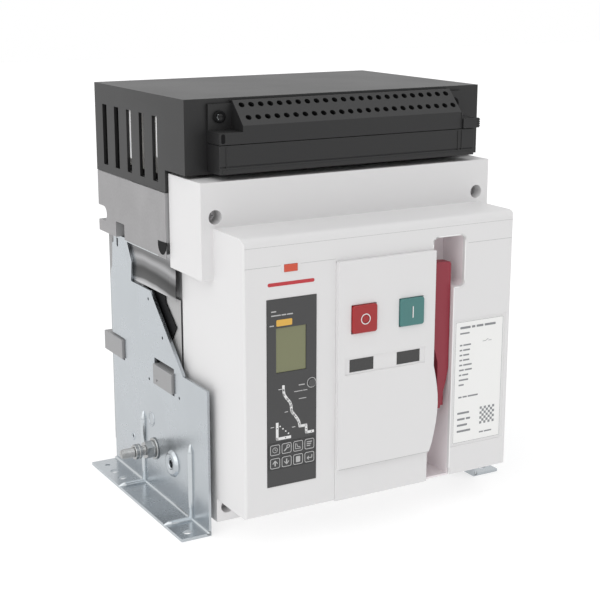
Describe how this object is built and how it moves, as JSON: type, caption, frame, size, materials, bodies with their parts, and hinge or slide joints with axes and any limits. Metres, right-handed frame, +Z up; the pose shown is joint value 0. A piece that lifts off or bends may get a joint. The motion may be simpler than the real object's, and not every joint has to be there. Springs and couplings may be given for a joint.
{
  "type": "air circuit breaker",
  "caption": "Fixed three-pole low-voltage air circuit breaker with a front operating panel, charging handle, electronic trip unit, side feet and rear bar terminals.",
  "frame": {"origin": "centre of the four main foot bolts, on the floor plane under the feet", "axes": "+Z up, front operating panel towards -Y, +X to the right seen from the front"},
  "size_m": [0.37, 0.326, 0.4],
  "materials": {
    "white_plastic": "fine-grained moulded polycarbonate",
    "label_white": "printed polyester label",
    "black_plastic": "fine-grained moulded thermoset",
    "grey_moulding": "glass-filled moulding compound",
    "zinc_steel": "blue-passivated zinc plate",
    "shaft_steel": "ground steel",
    "dark_panel": "printed dark foil",
    "case_grey": "moulded inner tray",
    "display_glass": "liquid crystal display with a clear window",
    "lamp_orange": "translucent lamp lens",
    "red_plastic": "moulded button",
    "green_plastic": "moulded button",
    "reset_plastic": "moulded button",
    "handle_red": "moulded lever",
    "smoked_lens": "smoked window",
    "flag_plastic": "printed flag",
    "copper": "electrolytic copper, silver-plated contact faces",
    "insulating_board": "pressed insulating board",
    "splitter_steel": "nickel-plated steel",
    "coil_resin": "cast resin"
  },
  "bodies": {
    "breaker": {"arc_chute_a": "insulating_board", "arc_chute_b": "insulating_board", "arc_chute_c": "insulating_board", "arc_cover": "black_plastic", "bracket_left": "zinc_steel", "bracket_right": "zinc_steel", "bracket_screws": "zinc_steel", "button_bracket": "zinc_steel", "button_panel": "white_plastic", "closing_spring": "shaft_steel", "cover_screws": "zinc_steel", "current_transformers": "coil_resin", "earth_hardware": "zinc_steel", "earth_stud": "zinc_steel", "front_cover": "white_plastic", "handle_pin": "shaft_steel", "handle_well": "case_grey", "housing_front": "grey_moulding", "housing_rear": "grey_moulding", "keypad_membrane": "dark_panel", "lcd_screen": "display_glass", "lower_terminal_a": "copper", "lower_terminal_b": "copper", "lower_terminal_c": "copper", "mechanism_plate_left": "zinc_steel", "mechanism_plate_right": "zinc_steel", "rating_label": "label_white", "release_coils": "coil_resin", "splitter_plates_a": "splitter_steel", "splitter_plates_b": "splitter_steel", "splitter_plates_c": "splitter_steel", "start_spring": "shaft_steel", "status_lamp": "lamp_orange", "stop_spring": "shaft_steel", "terminal_base": "black_plastic", "terminal_cap": "black_plastic", "terminal_screws": "zinc_steel", "trip_unit_case": "case_grey", "trip_unit_panel": "dark_panel", "upper_terminal_a": "copper", "upper_terminal_b": "copper", "upper_terminal_c": "copper", "window_lenses": "smoked_lens"},
    "stop_button": {"stop_button": "red_plastic"},
    "start_button": {"start_button": "green_plastic"},
    "reset_button": {"reset_button": "reset_plastic"},
    "charging_handle": {"charging_handle": "handle_red"},
    "main_shaft": {"main_shaft": "shaft_steel"},
    "drive_links": {"drive_links": "insulating_board"},
    "contact_carriers": {"moving_contact_a": "copper", "moving_contact_b": "copper", "moving_contact_c": "copper", "carrier_pin": "shaft_steel"},
    "contact_state_flag": {"contact_state_flag": "flag_plastic"},
    "spring_state_flag": {"spring_state_flag": "flag_plastic"},
    "charging_train": {"charging_shaft": "shaft_steel", "charging_cam": "shaft_steel", "ratchet_wheel": "shaft_steel"},
    "trip_shaft": {"trip_shaft": "shaft_steel"},
    "close_shaft": {"close_shaft": "shaft_steel"}
  },
  "joints": [
    {"name": "stop_press", "type": "slide", "parent": "breaker", "child": "stop_button", "axis": [0, 1, 0], "range_m": [0, 0.004], "stiffness_N_per_m": 600, "springref_m": -0.002, "deforming": ["stop_spring"]},
    {"name": "start_press", "type": "slide", "parent": "breaker", "child": "start_button", "axis": [0, 1, 0], "range_m": [0, 0.004], "stiffness_N_per_m": 600, "springref_m": -0.002, "deforming": ["start_spring"]},
    {"name": "reset_press", "type": "slide", "parent": "breaker", "child": "reset_button", "axis": [0, 1, 0], "range_m": [0, 0.0015], "stiffness_N_per_m": 400, "springref_m": -0.002},
    {"name": "handle_pull", "type": "hinge", "parent": "breaker", "child": "charging_handle", "pos_m": [0, -0.1345, 0.112], "axis": [1, 0, 0], "range_deg": [0, 60], "stiffness_Nm_per_rad": 0.15, "springref_deg": -20.05},
    {"name": "main_shaft_turn", "type": "hinge", "parent": "breaker", "child": "main_shaft", "pos_m": [0, -0.0485, 0.12], "axis": [1, 0, 0], "range_deg": [-10.3, 0]},
    {"name": "link_turn", "type": "hinge", "parent": "main_shaft", "child": "drive_links", "pos_m": [0, -0.0485, 0.165], "axis": [1, 0, 0], "range_deg": [0, 10.5]},
    {"name": "contact_swing", "type": "hinge", "parent": "breaker", "child": "contact_carriers", "pos_m": [0, 0.0635, 0.122], "axis": [1, 0, 0], "range_deg": [-10.5, 0]},
    {"name": "contact_flag_slide", "type": "slide", "parent": "breaker", "child": "contact_state_flag", "axis": [0, 0, 1], "range_m": [-0.013, 0]},
    {"name": "charging_turn", "type": "hinge", "parent": "breaker", "child": "charging_train", "pos_m": [0, -0.0685, 0.17], "axis": [1, 0, 0], "range_deg": [0, 170]},
    {"name": "spring_flag_slide", "type": "slide", "parent": "breaker", "child": "spring_state_flag", "axis": [0, 0, 1], "range_m": [-0.013, 0]},
    {"name": "trip_turn", "type": "hinge", "parent": "breaker", "child": "trip_shaft", "pos_m": [0, -0.1245, 0.188], "axis": [1, 0, 0], "range_deg": [-15, 0]},
    {"name": "close_turn", "type": "hinge", "parent": "breaker", "child": "close_shaft", "pos_m": [0, -0.1245, 0.226], "axis": [1, 0, 0], "range_deg": [0, 15]}
  ],
  "couplings": [
    {"joint": "link_turn", "follows": "main_shaft_turn", "ratio": -1},
    {"joint": "contact_swing", "follows": "main_shaft_turn", "ratio": 1},
    {"joint": "contact_flag_slide", "follows": "main_shaft_turn", "m_per_rad": 0.071759},
    {"joint": "spring_flag_slide", "follows": "charging_turn", "m_per_rad": -0.0043477},
    {"joint": "trip_turn", "follows": "stop_press", "rad_per_m": -62.5},
    {"joint": "close_turn", "follows": "start_press", "rad_per_m": 62.5}
  ]
}
